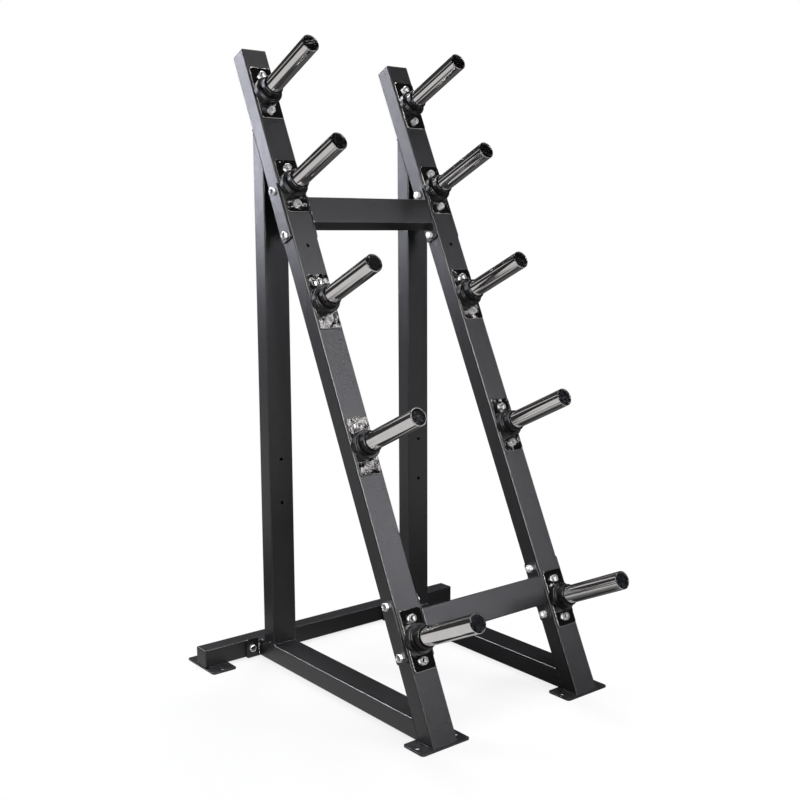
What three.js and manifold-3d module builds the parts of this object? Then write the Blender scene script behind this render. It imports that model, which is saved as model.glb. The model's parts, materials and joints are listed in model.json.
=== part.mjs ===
// Plate tree: a leaning rack of rectangular steel tube that stores weight plates on ten pegs.
// Millimetres, +Z up. Someone who loads plates stands on the -Y side, with +X to their right.
import * as THREE from "three";
import { mergeVertices } from "three/addons/utils/BufferGeometryUtils.js";
import Module from "manifold-3d";

const wasm = await Module();
wasm.setup();

// Steel tube of the frame: the uprights, rails and base rails share one section
const tubeWide = 76.2;
const tubeNarrow = 50.8;
const tubeWall = 3;
const tubeCorner = 3.5;

// Front uprights, which lean back and carry the posts
const lean = THREE.MathUtils.degToRad(25.1);
const uprightLength = 1894.7;
const frameSpacing = 500;

// Side frames: distances behind the line where the uprights' front faces meet the floor
const rearUprightFront = 708;
const crossmemberFront = 795;
const crossmemberLength = 915.3;
const crossmemberSquare = 50.8;

// Flat plates: feet, flanges and backing plates are cut from one thickness of strip
const stripThick = 4.76;
const stripCorner = 6;
const footLong = 152.4;
const footShort = 76.2;
const footCorner = 9;
const footHoleEnd = 15.7;
const footHoleRadius = 6.5;
const footRim = 1.9;
const rearFootOverhang = 2.3;
const rearFootSetBack = 3;
const flangeLedge = 41.5;
const flangeLip = 2.6;
const flangeBoltOut = 22.3;
const sidePlateInset = 3.2;
const sidePlateEnd = 16;

// Bolts and nuts, M12
const boltRadius = 6;
const boltHeadRadius = 10.4;
const boltHeadHeight = 7.5;
const nutHeight = 10.8;
const boltTail = 4;
const boltHoleRadius = 6.8;
const spareHoleRadius = 5;

// Posts: a tube welded to a mounting plate, with a stepped collar and a plug
const postRadius = 24.15;
const postWall = 3;
const postReach = 243.4;
const postPlateInset = 4.5;
const postPlateCorner = 8;
const postPlateEnd = 23.8;
const collarRadius = 38.6;
const collarNeckRadius = 29;
const collarStep = 17.8;
const collarHeight = 41;
const collarEdge = 2.5;
const collarBoltRoom = 3.4;
const plugLength = 16;
const plugRecess = 1.2;
const plugDome = 0.9;

// Places along the front upright, as shares of its length from the foot
const postLevelShares = [0.1391, 0.4009, 0.6097, 0.7839, 0.9302];
const spareLevelShare = 0.6936;

// Cross rails: how far a rail bolt sits above the lower bolt of the post beside it
const railWrenchRoom = 15;
const lowerRailRise = 21;
const upperRailRise = 49.6;

// Accessory holes in the rear uprights, above the floor
const rearHoleLow = 470;
const rearHoleSpacing = 124.7;

// End caps of the tubes
const capThick = 3;
const capInsert = 18;

// Gap left between pieces that rest on each other, and play of what fits inside or round a piece
const seatGap = 0.3;
const overrun = 5;

// Facets
const cornerSteps = 2;
const roundSteps = 20;
const holeSteps = 10;
const shankSteps = 8;
const hexSides = 6;

// Sizes that follow from the ones above
const innerCorner = tubeCorner - tubeWall;
const footHoleSpacing = footLong - 2 * footHoleEnd;
const footTop = stripThick + seatGap;
const railTop = footTop + tubeNarrow;
const boltHeadSpan = 2 * boltHeadRadius;
const postBoltSpacing = 2 * collarRadius + boltHeadSpan + 2 * collarBoltRoom;
const postPlateLong = postBoltSpacing + 2 * postPlateEnd;
const postPlateWide = tubeWide - 2 * postPlateInset;
const railBoltSpacing = tubeWide + boltHeadSpan + 2 * railWrenchRoom;
const sidePlateLong = railBoltSpacing + 2 * sidePlateEnd;
const sidePlateWide = tubeNarrow - 2 * sidePlateInset;
const postLevels = postLevelShares.map((share) => share * uprightLength);
const [lowestPostLevel, , , fourthPostLevel] = postLevels;
const lowerRailLevel = lowestPostLevel - postBoltSpacing / 2 + lowerRailRise + railBoltSpacing / 2;
const upperRailLevel = fourthPostLevel - postBoltSpacing / 2 + upperRailRise - railBoltSpacing / 2;
const flangeFront = crossmemberFront - seatGap - stripThick;

// Finishes
const powderCoat = new THREE.MeshStandardMaterial({ color: 0x2b2b2e, roughness: 0.55, metalness: 0.35 });
const chrome = new THREE.MeshStandardMaterial({ color: 0xd4d4d6, roughness: 0.1, metalness: 1 });
const rubber = new THREE.MeshStandardMaterial({ color: 0x151516, roughness: 0.6, metalness: 0 });
const gloss = new THREE.MeshStandardMaterial({ color: 0x0d0d10, roughness: 0.2, metalness: 0 });

// Outlines

function arc(centreX, centreY, radius, start, end, steps) {
  const points = [];
  for (let i = 0; i <= steps; i++) {
    const angle = start + ((end - start) * i) / steps;
    points.push(
      new THREE.Vector2(centreX + radius * Math.cos(angle), centreY + radius * Math.sin(angle)),
    );
  }
  return points;
}

function roundedRectangle(width, height, corner) {
  const x = width / 2 - corner;
  const y = height / 2 - corner;
  const quarter = Math.PI / 2;
  return [
    ...arc(x, y, corner, 0, quarter, cornerSteps),
    ...arc(-x, y, corner, quarter, 2 * quarter, cornerSteps),
    ...arc(-x, -y, corner, 2 * quarter, 3 * quarter, cornerSteps),
    ...arc(x, -y, corner, 3 * quarter, 4 * quarter, cornerSteps),
  ];
}

function extrude(outline, length, holes = []) {
  const shape = new THREE.Shape(outline);
  shape.holes = holes.map((points) => new THREE.Path(points));
  return new THREE.ExtrudeGeometry(shape, { depth: length, bevelEnabled: false });
}

// A straight tube from z = 0 up, its wide side along X
function boxTube(wide, narrow, length) {
  const bore = roundedRectangle(wide - 2 * tubeWall, narrow - 2 * tubeWall, innerCorner);
  return extrude(roundedRectangle(wide, narrow, tubeCorner), length, [bore]);
}

// A flat plate lying on z = 0, centred on the origin, with round holes at the places (x, y)
function flatPlate(wide, long, corner, holeRadius = 0, holePlaces = []) {
  const holes = holePlaces.map(([x, y]) => arc(x, y, holeRadius, 0, 2 * Math.PI, holeSteps).slice(1));
  return extrude(roundedRectangle(wide, long, corner), stripThick, holes);
}

// A round or hexagonal bar along +Y, from y = 0
function bar(radius, length, sides) {
  return new THREE.CylinderGeometry(radius, radius, length, sides).translate(0, length / 2, 0);
}

// Solids, for cuts and joins

function solidOf(geometry) {
  const bare = geometry.clone();
  bare.deleteAttribute("normal");
  bare.deleteAttribute("uv");
  const merged = mergeVertices(bare);
  return new wasm.Manifold(
    new wasm.Mesh({
      numProp: 3,
      vertProperties: new Float32Array(merged.attributes.position.array),
      triVerts: new Uint32Array(merged.index.array),
    }),
  );
}

function cut(geometry, cutters) {
  return cutters.reduce((solid, cutter) => solid.subtract(solidOf(cutter)), solidOf(geometry));
}

function join(geometries) {
  return geometries.slice(1).reduce((solid, piece) => solid.add(solidOf(piece)), solidOf(geometries[0]));
}

function geometryOf(solid) {
  const mesh = solid.getMesh();
  const geometry = new THREE.BufferGeometry();
  geometry.setAttribute("position", new THREE.BufferAttribute(mesh.vertProperties, mesh.numProp));
  geometry.setIndex(new THREE.BufferAttribute(mesh.triVerts, 1));
  const faceted = geometry.toNonIndexed();
  faceted.computeVertexNormals();
  return faceted;
}

function piece(name, shape, material) {
  const geometry = shape.isBufferGeometry ? shape : geometryOf(shape);
  const mesh = new THREE.Mesh(geometry, material);
  mesh.name = name;
  return mesh;
}

// The space in front of the front uprights' rear faces, as a cutter in the frame's own axes.
// What meets those faces is trimmed by it, so each mitre keeps the seat gap.
const trimSize = 2 * uprightLength;
const uprightRearTrim = new THREE.BoxGeometry(trimSize, trimSize, 2 * trimSize)
  .translate(0, tubeNarrow + seatGap - trimSize / 2, 0)
  .rotateX(-lean);

// The space under the top of the feet, in the leaning axes of an upright
const underFootTrim = new THREE.BoxGeometry(trimSize, 2 * trimSize, trimSize)
  .translate(0, 0, footTop - trimSize / 2)
  .rotateX(lean);

// Bolt along +Y with its head's underside at y = 0 and its nut's near face at y = grip
function throughBolt(grip) {
  const head = bar(boltHeadRadius, boltHeadHeight, hexSides).translate(0, -boltHeadHeight, 0);
  const shankStart = -boltHeadHeight / 2;
  const shankEnd = grip + nutHeight + boltTail;
  const shank = bar(boltRadius, shankEnd - shankStart, shankSteps).translate(0, shankStart, 0);
  const nut = bar(boltHeadRadius, nutHeight, hexSides).translate(0, grip, 0);
  return [head, shank, nut];
}

// Front upright, in leaning axes: +Z along it, its front face at y = 0, its foot end trimmed level
function frontUpright(name) {
  const blank = boxTube(tubeWide, tubeNarrow, uprightLength).translate(0, tubeNarrow / 2, 0);
  const cutters = [underFootTrim];
  const wallDepth = tubeWall + 2 * overrun;
  for (const level of postLevels) {
    for (const side of [-1, 1]) {
      const height = level + (side * postBoltSpacing) / 2;
      cutters.push(bar(boltHoleRadius, wallDepth, holeSteps).translate(0, -overrun, height));
    }
  }
  for (const level of [lowerRailLevel, upperRailLevel]) {
    for (const side of [-1, 1]) {
      const height = level + (side * railBoltSpacing) / 2;
      const across = bar(boltHoleRadius, tubeWide + 2 * overrun, holeSteps)
        .rotateZ(-Math.PI / 2)
        .translate(-tubeWide / 2 - overrun, tubeNarrow / 2, height);
      cutters.push(across);
    }
  }
  const spareHeight = spareLevelShare * uprightLength;
  cutters.push(bar(spareHoleRadius, wallDepth, holeSteps).translate(0, -overrun, spareHeight));
  return piece(name, cut(blank, cutters), powderCoat);
}

// Plug with a flange that closes the end of a tube; its flange's underside is at z = 0
function tubeCap(name, wide, narrow) {
  const flange = extrude(roundedRectangle(wide, narrow, tubeCorner), capThick);
  const play = 2 * (tubeWall + seatGap);
  const insert = extrude(
    roundedRectangle(wide - play, narrow - play, innerCorner),
    capInsert + capThick / 2,
  ).translate(0, 0, -capInsert);
  return piece(name, join([flange, insert]), gloss);
}

// Post weldment with its two bolts, in leaning axes: the upright's face is y = 0.
// The bolts screw into nuts behind the upright's front wall.
function post(name) {
  const plateFront = -seatGap - stripThick;
  const plate = flatPlate(postPlateWide, postPlateLong, postPlateCorner)
    .rotateX(Math.PI / 2)
    .translate(0, -seatGap, 0);
  const tubeStart = plateFront + stripThick / 2;
  const section = arc(0, 0, postRadius, 0, 2 * Math.PI, roundSteps).slice(1);
  const bore = arc(0, 0, postRadius - postWall, 0, 2 * Math.PI, roundSteps).slice(1);
  const tube = extrude(section, postReach + tubeStart, [bore])
    .rotateX(Math.PI / 2)
    .translate(0, tubeStart, 0);
  const pieces = [plate, tube];
  const grip = tubeWall + seatGap - plateFront;
  for (const side of [-1, 1]) {
    for (const part of throughBolt(grip)) {
      pieces.push(part.translate(0, plateFront, (side * postBoltSpacing) / 2));
    }
  }
  return piece(name, join(pieces), chrome);
}

// Stepped collar round the post's root; its back rests on the mounting plate
function collar(name) {
  const bore = postRadius + seatGap;
  const profile = [
    [bore, 0],
    [collarRadius, 0],
    [collarRadius, collarStep - collarEdge],
    [collarRadius - collarEdge, collarStep],
    [collarNeckRadius, collarStep],
    [collarNeckRadius, collarHeight - collarEdge],
    [collarNeckRadius - collarEdge, collarHeight],
    [bore, collarHeight],
    [bore, 0],
  ].map(([radius, height]) => new THREE.Vector2(radius, height));
  const ring = new THREE.LatheGeometry(profile, roundSteps)
    .rotateX(Math.PI)
    .translate(0, -2 * seatGap - stripThick, 0);
  return piece(name, solidOf(ring), rubber);
}

// Domed plug, set a little way into the post's open end
function postPlug(name) {
  const radius = postRadius - postWall - seatGap;
  const domeRadius = radius * Math.SQRT1_2;
  const profile = [
    [0, 0],
    [radius, 0],
    [radius, plugLength],
    [domeRadius, plugLength + plugDome / 2],
    [0, plugLength + plugDome],
  ].map(([across, height]) => new THREE.Vector2(across, height));
  const plug = new THREE.LatheGeometry(profile, roundSteps)
    .rotateX(Math.PI)
    .translate(0, plugLength + plugDome + plugRecess - postReach, 0);
  return piece(name, solidOf(plug), gloss);
}

// Backing plate on an upright's outer side, with its two bolts: +X runs out of the upright.
// The bolts reach through the upright and the rail's flange to nuts on the inner side.
function backingPlate(name) {
  const plate = flatPlate(sidePlateWide, sidePlateLong, stripCorner)
    .rotateZ(Math.PI / 2)
    .rotateY(Math.PI / 2)
    .translate(seatGap, 0, 0);
  const pieces = [plate];
  const grip = 2 * stripThick + tubeWide + 3 * seatGap;
  for (const side of [-1, 1]) {
    for (const part of throughBolt(grip)) {
      pieces.push(
        part
          .rotateZ(Math.PI / 2)
          .translate(seatGap + stripThick, 0, (side * railBoltSpacing) / 2),
      );
    }
  }
  return piece(name, join(pieces), powderCoat);
}

// Flange welded to the end of a cross rail, with its two bolt holes
function railFlange(name) {
  const half = railBoltSpacing / 2;
  const places = [
    [0, -half],
    [0, half],
  ];
  const plate = flatPlate(sidePlateWide, sidePlateLong, stripCorner, boltHoleRadius, places);
  return piece(name, plate.rotateX(Math.PI / 2).rotateZ(Math.PI / 2), powderCoat);
}

// Cross rail between the two flanges, its wide face forward
function crossRail(name) {
  const length = frameSpacing - tubeWide - 4 * seatGap - 2 * stripThick;
  const rail = boxTube(tubeWide, tubeNarrow, length).translate(0, 0, -length / 2);
  return piece(name, rail.rotateZ(Math.PI / 2).rotateY(Math.PI / 2).rotateX(Math.PI / 2), powderCoat);
}

// Assembly

const rack = new THREE.Group();

// Both uprights, with all that they carry, lean together
const leaning = new THREE.Group();
leaning.rotation.x = -lean;
rack.add(leaning);

const sides = { left: -1, right: 1 };

for (const [side, sign] of Object.entries(sides)) {
  const frameX = (sign * frameSpacing) / 2;

  const column = new THREE.Group();
  column.position.x = frameX;
  leaning.add(column);
  column.add(frontUpright(`front_upright_${side}`));

  const cap = tubeCap(`upright_cap_${side}`, tubeWide, tubeNarrow);
  cap.position.set(0, tubeNarrow / 2, uprightLength + seatGap);
  column.add(cap);

  postLevels.forEach((level, index) => {
    const unit = new THREE.Group();
    unit.position.z = level;
    unit.add(post(`post_${side}_${index + 1}`));
    unit.add(collar(`collar_${side}_${index + 1}`));
    unit.add(postPlug(`post_plug_${side}_${index + 1}`));
    column.add(unit);
  });

  const levels = { lower: lowerRailLevel, upper: upperRailLevel };
  for (const [rail, level] of Object.entries(levels)) {
    const backing = backingPlate(`${rail}_backing_plate_${side}`);
    backing.position.set((sign * tubeWide) / 2, tubeNarrow / 2, level);
    backing.rotation.z = sign > 0 ? 0 : Math.PI;
    column.add(backing);

    const flange = railFlange(`${rail}_rail_flange_${side}`);
    const flangeMiddle = tubeWide / 2 + seatGap + stripThick / 2;
    flange.position.set(-sign * flangeMiddle - stripThick / 2, tubeNarrow / 2, level);
    column.add(flange);
  }

  // Front foot: the plate that the upright stands on
  const holeHalf = footHoleSpacing / 2;
  const acrossHoles = [
    [-holeHalf, 0],
    [holeHalf, 0],
  ];
  const foot = piece(
    `front_foot_${side}`,
    flatPlate(footLong, footShort, footCorner, footHoleRadius, acrossHoles),
    powderCoat,
  );
  foot.position.set(frameX, footShort / 2 - footRim, 0);
  rack.add(foot);

  // Base rail, lying flat, mitred to the upright and ending at its rear flange
  const railLength = flangeFront - seatGap;
  const rail = boxTube(tubeWide, tubeNarrow, railLength)
    .rotateX(-Math.PI / 2)
    .translate(0, 0, footTop + tubeNarrow / 2);
  const baseRail = piece(`base_rail_${side}`, cut(rail, [uprightRearTrim]), powderCoat);
  baseRail.position.x = frameX;
  rack.add(baseRail);

  // Rear upright, vertical, mitred under the leaning upright
  const rearTube = boxTube(tubeWide, tubeNarrow, uprightLength).translate(
    0,
    rearUprightFront + tubeNarrow / 2,
    railTop + seatGap,
  );
  const rearCutters = [uprightRearTrim];
  for (const height of [rearHoleLow, rearHoleLow + rearHoleSpacing]) {
    const hole = bar(spareHoleRadius, tubeWall + 2 * overrun, holeSteps);
    rearCutters.push(hole.translate(0, rearUprightFront - overrun, height));
  }
  const rearUpright = piece(`rear_upright_${side}`, cut(rearTube, rearCutters), powderCoat);
  rearUpright.position.x = frameX;
  rack.add(rearUpright);

  // Rear flange with the bolts that hold the crossmember
  const flangeTall = tubeNarrow + 2 * flangeLip;
  const flangeWide = tubeWide + 2 * flangeLedge;
  const flangePlate = flatPlate(flangeWide, flangeTall, stripCorner)
    .rotateX(Math.PI / 2)
    .translate(0, stripThick, 0);
  const flangePieces = [flangePlate];
  const flangeGrip = stripThick + crossmemberSquare + 2 * seatGap;
  for (const end of [-1, 1]) {
    for (const part of throughBolt(flangeGrip)) {
      flangePieces.push(part.translate(end * (tubeWide / 2 + flangeBoltOut), 0, 0));
    }
  }
  const flange = piece(`rear_flange_${side}`, join(flangePieces), powderCoat);
  flange.position.set(frameX, flangeFront, footTop + tubeNarrow / 2);
  rack.add(flange);

  // Crossmember's foot, turned to run fore and aft, and its end cap
  const rearFoot = piece(
    `crossmember_foot_${side}`,
    flatPlate(footLong, footShort, footCorner, footHoleRadius, acrossHoles).rotateZ(Math.PI / 2),
    powderCoat,
  );
  rearFoot.position.set(
    sign * (crossmemberLength / 2 + seatGap + capThick + rearFootOverhang - footShort / 2),
    crossmemberFront + crossmemberSquare / 2 + rearFootSetBack,
    0,
  );
  rack.add(rearFoot);

  const endCap = tubeCap(`crossmember_cap_${side}`, crossmemberSquare, crossmemberSquare);
  endCap.rotation.y = (sign * Math.PI) / 2;
  endCap.position.set(
    sign * (crossmemberLength / 2 + seatGap),
    crossmemberFront + crossmemberSquare / 2,
    footTop + crossmemberSquare / 2,
  );
  rack.add(endCap);
}

// Cross rails, which tie the leaning uprights together
const rails = { lower_rail: lowerRailLevel, upper_rail: upperRailLevel };
for (const [name, level] of Object.entries(rails)) {
  const rail = crossRail(name);
  rail.position.set(0, tubeNarrow / 2, level);
  leaning.add(rail);
}

// Rear crossmember, drilled for the flange bolts
const crossTube = boxTube(crossmemberSquare, crossmemberSquare, crossmemberLength)
  .translate(0, 0, -crossmemberLength / 2)
  .rotateY(Math.PI / 2)
  .translate(0, crossmemberSquare / 2, 0);
const crossHoles = [];
for (const sign of [-1, 1]) {
  for (const end of [-1, 1]) {
    const x = (sign * frameSpacing) / 2 + end * (tubeWide / 2 + flangeBoltOut);
    const hole = bar(boltHoleRadius, crossmemberSquare + 2 * overrun, holeSteps);
    crossHoles.push(hole.translate(x, -overrun, 0));
  }
}
const crossmember = piece("rear_crossmember", cut(crossTube, crossHoles), powderCoat);
crossmember.position.set(0, crossmemberFront, footTop + crossmemberSquare / 2);
rack.add(crossmember);

// The part's origin is under the middle of its bounding box, on the floor
rack.updateMatrixWorld(true);
const bounds = new THREE.Box3().setFromObject(rack, true);
const middle = bounds.getCenter(new THREE.Vector3());
rack.position.set(-middle.x, -middle.y, -bounds.min.z);

export default rack;
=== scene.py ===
"""Plate tree: a leaning rack of powder-coated steel tube, with ten chromed posts for weight plates.

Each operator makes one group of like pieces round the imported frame, and one makes the studio.
Metres, +Z up. Someone who loads plates stands on the -Y side, with +X to their right.
"""

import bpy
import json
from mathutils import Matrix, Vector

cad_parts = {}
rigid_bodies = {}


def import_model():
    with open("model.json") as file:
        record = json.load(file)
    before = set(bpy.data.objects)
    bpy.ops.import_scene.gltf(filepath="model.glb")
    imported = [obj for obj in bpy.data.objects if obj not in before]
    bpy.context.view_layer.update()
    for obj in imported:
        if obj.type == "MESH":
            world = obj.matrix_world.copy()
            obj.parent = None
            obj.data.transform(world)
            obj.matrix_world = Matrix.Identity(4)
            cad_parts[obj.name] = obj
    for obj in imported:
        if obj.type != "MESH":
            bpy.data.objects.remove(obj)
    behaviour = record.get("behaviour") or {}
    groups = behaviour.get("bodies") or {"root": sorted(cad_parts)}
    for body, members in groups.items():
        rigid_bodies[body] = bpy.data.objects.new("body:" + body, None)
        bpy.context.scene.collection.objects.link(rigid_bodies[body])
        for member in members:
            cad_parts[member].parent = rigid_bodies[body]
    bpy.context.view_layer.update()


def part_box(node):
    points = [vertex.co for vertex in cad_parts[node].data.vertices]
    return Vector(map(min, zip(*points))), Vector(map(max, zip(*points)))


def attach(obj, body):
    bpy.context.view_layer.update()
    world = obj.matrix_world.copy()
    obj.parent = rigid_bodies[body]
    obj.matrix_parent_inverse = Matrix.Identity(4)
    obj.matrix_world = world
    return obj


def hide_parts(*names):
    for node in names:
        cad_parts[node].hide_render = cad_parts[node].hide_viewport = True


bl_info = {
    "name": "Plate tree",
    "version": (1, 0, 0),
    "blender": (4, 5, 0),
    "location": "3D View > Sidebar > Plate tree",
    "description": "Makes a plate tree's tubes, plates, posts, collars, bolts and welds",
    "category": "Object",
}

import json
import math

import bmesh
import bpy
from bpy.props import FloatProperty, FloatVectorProperty, IntProperty, PointerProperty
from mathutils import Euler, Matrix, Vector

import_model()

SIDES = {"left": -1, "right": 1}
RAILS = ("lower", "upper")
ENDS = (-1, 1)

# A piece that stays where it was made, and turns that face +Z out of the front or a side
QUARTER = math.pi / 2
HERE = Matrix.Identity(4)
FACE_FRONT = Matrix.Rotation(QUARTER, 4, "X")
FACE_SIDES = {
    sign: Matrix.Rotation(sign * QUARTER, 4, "Z") @ FACE_FRONT for sign in SIDES.values()
}

# Posts' axes, along the upright from its foot, the lowest first
POST_LEVELS = (0.26355, 0.75959, 1.15520, 1.48526, 1.76245)

# Meshes: what counts as a sharp edge, and how finely curves are cut
SMOOTH_ANGLE = math.radians(30)
EASE_ANGLE = math.radians(40)
CORNER_STEPS = 8
ROUND_STEPS = 4
EASE_STEPS = 3
FINE_EASE_STEPS = 2
SMALL_STEPS = 32
CLOTH_STEPS = 48
MERGE_DISTANCE = 1e-6

# How much longer a tube is made before its mitre is cut
MITRE_ROOM = 0.05

# How far the front feet stand out in front of the uprights
FOOT_LIP = 0.0019

# How many times its wall's thickness a drill is long
DRILL_WALLS = 4

# Forged heads: the round face as a share of the width across flats, and the cone that chamfers
# it, just wider than the corners
FACE_SHARE = 0.95
CONE_SHARE = 1.001
CONE_FOOT_SHARE = 1.02
CHAMFER_ANGLE = math.radians(30)

# Threads: the root as a share of the bolt's radius, and the bolt's tip as a share of the root
THREAD_ROOT_SHARE = 0.87
THREAD_TIP_SHARE = 0.9

# How tightening left the bolts turned: degrees for each bolt's number, and for its place in a count
# of three. The nuts' numbers are so much higher than their heads'
SPANNER_TURNS = (17.0, 11.0)
FLANGE_NUT_TURNS = 3
RAIL_NUT_TURNS = 5

# The plug's crown: shares of its radius, and of its dome's height, for each corner
PLUG_DOME_SHARES = ((0.86, 0.45), (0.45, 0.08))

# Weld beads: how thick three points in a row are, and the size and pace of the torch's wander
RIPPLE_SHARES = (1.06, 0.96, 0.88)
WANDER_SHARES = ((0.05, 0.37), (0.03, 1.9))


# Properties


def length(default, name, description):
    """A length in metres that a user can set."""
    return FloatProperty(
        name=name,
        description=description,
        default=default,
        min=0.0,
        precision=5,
        unit="LENGTH",
        subtype="DISTANCE",
    )


def place(default, name, description):
    """A point in metres that a user can set."""
    return FloatVectorProperty(
        name=name, description=description, default=default, unit="LENGTH", subtype="TRANSLATION"
    )


def tone(default, name, description):
    """A linear colour that a user can set."""
    return FloatVectorProperty(
        name=name, description=description, default=default, min=0.0, max=1.0, subtype="COLOR"
    )


def share(default, name, description):
    """A number from 0 to 1 that a user can set."""
    return FloatProperty(
        name=name, description=description, default=default, min=0.0, max=1.0, subtype="FACTOR"
    )


class PlateTreeSizes(bpy.types.PropertyGroup):
    """Sizes of the pieces."""

    tube_wide: length(0.0762, "Tube width", "Wide side of the frame's tube")
    tube_narrow: length(0.0508, "Tube depth", "Narrow side of the frame's tube")
    tube_wall: length(0.003, "Tube wall", "Wall of the frame's tube")
    tube_corner: length(0.0032, "Tube corner", "Outer corner radius of the tubes")
    lean: FloatProperty(
        name="Lean",
        description="How far the front uprights lean back from the vertical",
        default=math.radians(25.1),
        unit="ROTATION",
        subtype="ANGLE",
    )
    upright_length: length(1.8947, "Upright length", "Length of a front upright, foot to cap")
    face_line: FloatProperty(
        name="Face line",
        description="Where the uprights' front faces meet the floor, along Y",
        default=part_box("front_foot_left")[0].y + FOOT_LIP,
        unit="LENGTH",
        subtype="DISTANCE",
    )
    frame_spacing: length(0.5, "Frame spacing", "Distance between the middles of the side frames")
    seat_gap: length(0.0003, "Seat gap", "Gap between pieces that rest on each other")
    cap_thick: length(0.003, "Cap thickness", "Thickness of an end cap's flange")
    cap_round: length(0.0013, "Cap rounding", "Rounding of an end cap's rim")
    cap_stem: length(0.018, "Cap stem", "How far an end cap's stem reaches into the tube")
    stem_corner: length(0.001, "Stem corner", "Corner radius of an end cap's stem")
    strip_thick: length(0.00476, "Strip thickness", "Thickness of feet, flanges and plates")
    foot_corner: length(0.009, "Foot corner", "Corner radius of a foot plate")
    foot_hole: length(0.0065, "Foot hole", "Radius of a foot's anchor hole")
    foot_hole_reach: length(0.0605, "Foot hole reach", "Anchor hole's distance from the middle")
    flange_ledge: length(0.0032, "Flange ledge", "How far a flange stays inside the tube's side")
    plate_corner: length(0.006, "Plate corner", "Corner radius of flanges and backing plates")
    plate_end: length(0.016, "Plate end", "How far flanges and plates reach past their bolts")
    plate_edge: length(0.0006, "Plate edge", "Width of the eased edge of a cut plate")
    spare_level: length(1.31416, "Spare hole level", "Spare hole in the upright, from its foot")
    spare_hole: length(0.005, "Spare hole", "Radius of the spare and accessory holes")
    accessory_low: length(0.47, "Accessory hole", "Lower accessory hole, above the floor")
    accessory_spacing: length(0.1247, "Accessory spacing", "Distance between accessory holes")
    post_radius: length(0.02415, "Post radius", "Outer radius of a post's tube")
    post_wall: length(0.003, "Post wall", "Wall of a post's tube")
    post_reach: length(0.2434, "Post reach", "How far a post stands out of the upright's face")
    post_rim: length(0.003, "Post rim", "Length of a post's rounded rim")
    post_round: length(0.0014, "Post rounding", "Outer rounding of a post's rim")
    post_bolt_reach: length(0.0524, "Post bolt reach", "Post bolt's distance from the axis")
    post_plate_inset: length(0.0045, "Post plate inset", "How far it stays inside the tube's side")
    post_plate_end: length(0.0238, "Post plate end", "How far it reaches past its bolts")
    post_plate_corner: length(0.008, "Post plate corner", "Corner radius of a post's plate")
    post_plate_edge: length(0.0012, "Post plate edge", "Width of its eased edge")
    fine_round: length(0.0008, "Fine rounding", "Rounding of small lips and inner rims")
    collar_radius: length(0.0386, "Collar radius", "Radius of the collar's wide step")
    collar_neck: length(0.029, "Collar neck", "Radius of the collar's narrow step")
    collar_step: length(0.0178, "Collar step", "Height of the collar's wide step")
    collar_height: length(0.041, "Collar height", "Height of the collar")
    collar_round: length(0.0026, "Collar rounding", "Rounding of the collar's wide step")
    neck_round: length(0.0024, "Neck rounding", "Rounding of the collar's narrow step")
    groove_width: length(0.0020, "Groove width", "Width of the groove round the collar's neck")
    groove_depth: length(0.0006, "Groove depth", "Depth of that groove")
    groove_rise: length(0.0022, "Groove rise", "How far the groove's curve climbs the neck")
    groove_round: length(0.0012, "Groove rounding", "Rounding of that groove")
    mouth_width: length(0.0012, "Mouth width", "Width of the lead-in of the collar's bore")
    mouth_depth: length(0.0014, "Mouth depth", "Depth of that lead-in")
    mouth_round: length(0.0004, "Mouth rounding", "Rounding of that lead-in")
    plug_recess: length(0.0012, "Plug recess", "How far the plug's crown lies inside the rim")
    plug_length: length(0.0169, "Plug length", "Length of a plug below its crown")
    plug_dome: length(0.0009, "Plug dome", "Height of a plug's domed face")
    plug_foot: length(0.0006, "Plug foot", "Rounding of a plug's inner end")
    dome_round: length(0.001, "Dome rounding", "Rounding of the dome's corners")
    rail_bolt_reach: length(0.0635, "Rail bolt reach", "Rail bolt's distance from the middle")
    flange_bolt_reach: length(0.0604, "Flange bolt reach", "Its distance from the flange's middle")
    bolt_radius: length(0.006, "Bolt radius", "Radius of the bolts' shanks")
    bolt_head_radius: length(0.0104, "Bolt head radius", "Radius of a bolt head's corners")
    bolt_head_height: length(0.0075, "Bolt head height", "Height of a bolt's head")
    bolt_edge: length(0.00025, "Bolt edge", "Width of the eased edges of heads and nuts")
    nut_height: length(0.0108, "Nut height", "Height of a nut")
    bolt_tail: length(0.004, "Bolt tail", "How far a bolt reaches past its nut")
    thread_pitch: length(0.00175, "Thread pitch", "Pitch of the bolts' thread")
    weld_leg: length(0.0030, "Weld leg", "Radius of a weld bead in an open corner")
    weld_edge: length(0.0022, "Edge weld", "Radius of a weld bead on a flange's edge")
    weld_flush: length(0.0019, "Flush weld", "Radius of a weld bead that is ground flush")
    weld_front: length(0.0012, "Front weld", "Radius of the bead along an upright's front")
    weld_front_strip: length(0.002, "Front weld strip", "How far that bead turns the corners")
    weld_strip: length(0.001, "Weld strip", "How far a side's bead turns its corners")
    weld_clear: length(0.006, "Weld clearance", "Where a base rail's front bead stops")
    weld_sink: length(0.0015, "Weld sink", "How far a flush bead's middle lies under the surface")
    weld_shift: length(0.0009, "Weld shift", "How far it lies towards the rounded edge's tube")
    weld_ripple: length(0.0022, "Weld ripple", "Length of one ripple of a weld bead")
    turn_steps: IntProperty(
        name="Turning steps", description="Faces round a turned piece", default=64, min=16, max=256
    )


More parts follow.
